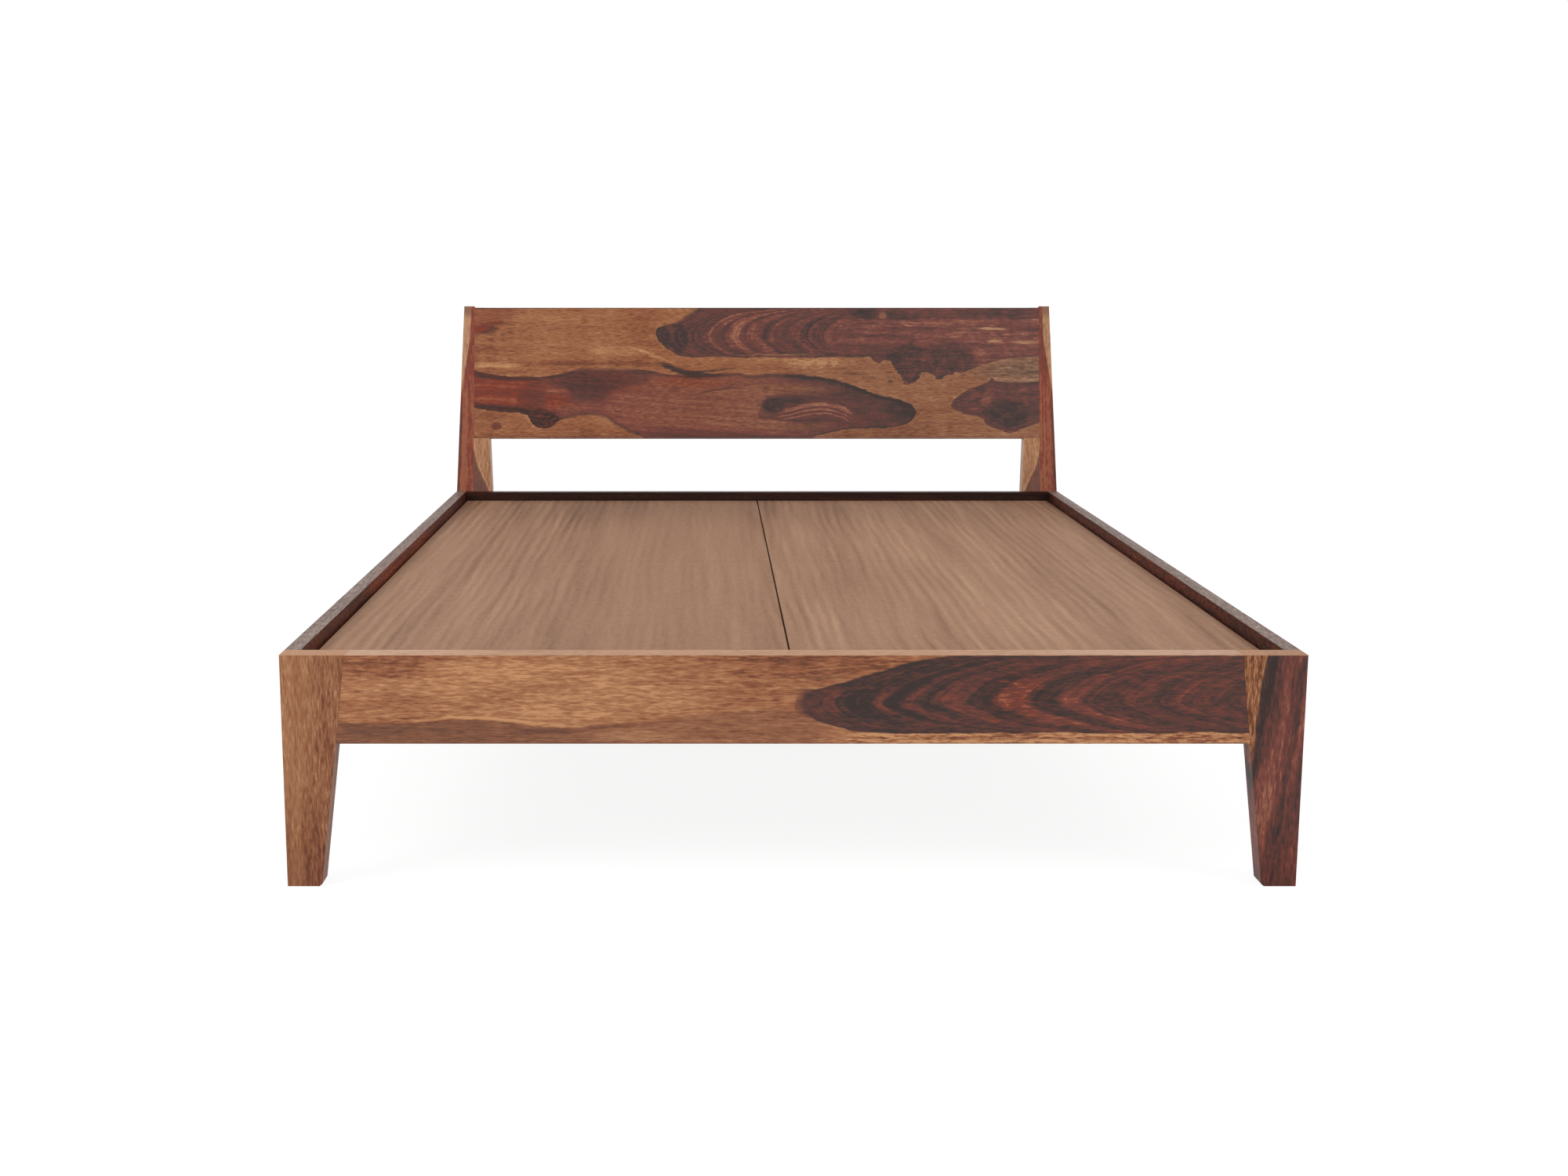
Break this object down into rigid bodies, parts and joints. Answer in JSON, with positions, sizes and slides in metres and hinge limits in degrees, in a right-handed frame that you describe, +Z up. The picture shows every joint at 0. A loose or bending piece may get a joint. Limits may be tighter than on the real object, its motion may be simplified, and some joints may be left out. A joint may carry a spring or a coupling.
{
  "type": "double bed frame",
  "caption": "Wooden double bed frame with tapered legs, a leaning headboard panel on raked posts and a loose plywood deck that lifts out of the rails.",
  "frame": {"origin": "on the floor, at the middle of the bed's overall width and length", "axes": "+Z up, -Y towards the foot end, +Y towards the headboard, +X to the right seen from the foot end"},
  "size_m": [1.58, 2.246, 0.8493],
  "materials": {
    "rosewood": "satin lacquer over figured rosewood",
    "plywood": "matt, sliced veneer face",
    "softwood": "planed, unfinished",
    "beech": "fluted dowel, unfinished",
    "black_steel": "satin black powder coat",
    "zinc_plated_steel": "bright zinc plate",
    "zinc_alloy": "dull die cast"
  },
  "bodies": {
    "bedstead": {"front_leg_left": "rosewood", "front_leg_right": "rosewood", "front_rail": "rosewood", "side_rail_left": "rosewood", "side_rail_right": "rosewood", "rear_rail": "rosewood", "rear_post_outer_stave_left": "rosewood", "rear_post_outer_stave_right": "rosewood", "rear_post_inner_stave_left": "rosewood", "rear_post_inner_stave_right": "rosewood", "headboard_panel": "rosewood", "headboard_screws": "zinc_plated_steel", "side_ledger_left": "softwood", "side_ledger_right": "softwood", "side_ledger_screws_left": "zinc_plated_steel", "side_ledger_screws_right": "zinc_plated_steel", "front_ledger": "softwood", "rear_ledger": "softwood", "front_ledger_screws": "zinc_plated_steel", "rear_ledger_screws": "zinc_plated_steel", "cross_bearer_1": "softwood", "cross_bearer_2": "softwood", "cross_bearer_3": "softwood", "cross_bearer_4": "softwood", "cross_bearer_5": "softwood", "bearer_screws": "zinc_plated_steel", "centre_beam": "softwood", "beam_hanger_front": "black_steel", "beam_hanger_rear": "black_steel", "hanger_screws_front": "zinc_plated_steel", "hanger_screws_rear": "zinc_plated_steel", "centre_leg": "softwood", "centre_leg_plate": "black_steel", "centre_leg_stud": "zinc_plated_steel", "centre_leg_plate_screws": "zinc_plated_steel", "corner_bracket_front_left": "black_steel", "corner_bracket_front_right": "black_steel", "corner_bracket_rear_left": "black_steel", "corner_bracket_rear_right": "black_steel", "corner_bolts_front_left": "zinc_plated_steel", "corner_bolts_front_right": "zinc_plated_steel", "corner_bolts_rear_left": "zinc_plated_steel", "corner_bolts_rear_right": "zinc_plated_steel", "corner_inserts_front_left": "zinc_alloy", "corner_inserts_front_right": "zinc_alloy", "corner_inserts_rear_left": "zinc_alloy", "corner_inserts_rear_right": "zinc_alloy", "rail_dowels_front_left": "beech", "rail_dowels_front_right": "beech", "rail_dowels_rear_left": "beech", "rail_dowels_rear_right": "beech"},
    "deck_panel_front_left": {"deck_panel_front_left": "plywood"},
    "deck_panel_front_right": {"deck_panel_front_right": "plywood"},
    "deck_panel_rear_left": {"deck_panel_rear_left": "plywood"},
    "deck_panel_rear_right": {"deck_panel_rear_right": "plywood"}
  },
  "joints": [
    {"name": "lift_deck_panel_front_left", "type": "slide", "parent": "bedstead", "child": "deck_panel_front_left", "axis": [0, 0, 1], "range_m": [0, 0.3]},
    {"name": "lift_deck_panel_front_right", "type": "slide", "parent": "bedstead", "child": "deck_panel_front_right", "axis": [0, 0, 1], "range_m": [0, 0.3]},
    {"name": "lift_deck_panel_rear_left", "type": "slide", "parent": "bedstead", "child": "deck_panel_rear_left", "axis": [0, 0, 1], "range_m": [0, 0.3]},
    {"name": "lift_deck_panel_rear_right", "type": "slide", "parent": "bedstead", "child": "deck_panel_rear_right", "axis": [0, 0, 1], "range_m": [0, 0.3]}
  ]
}
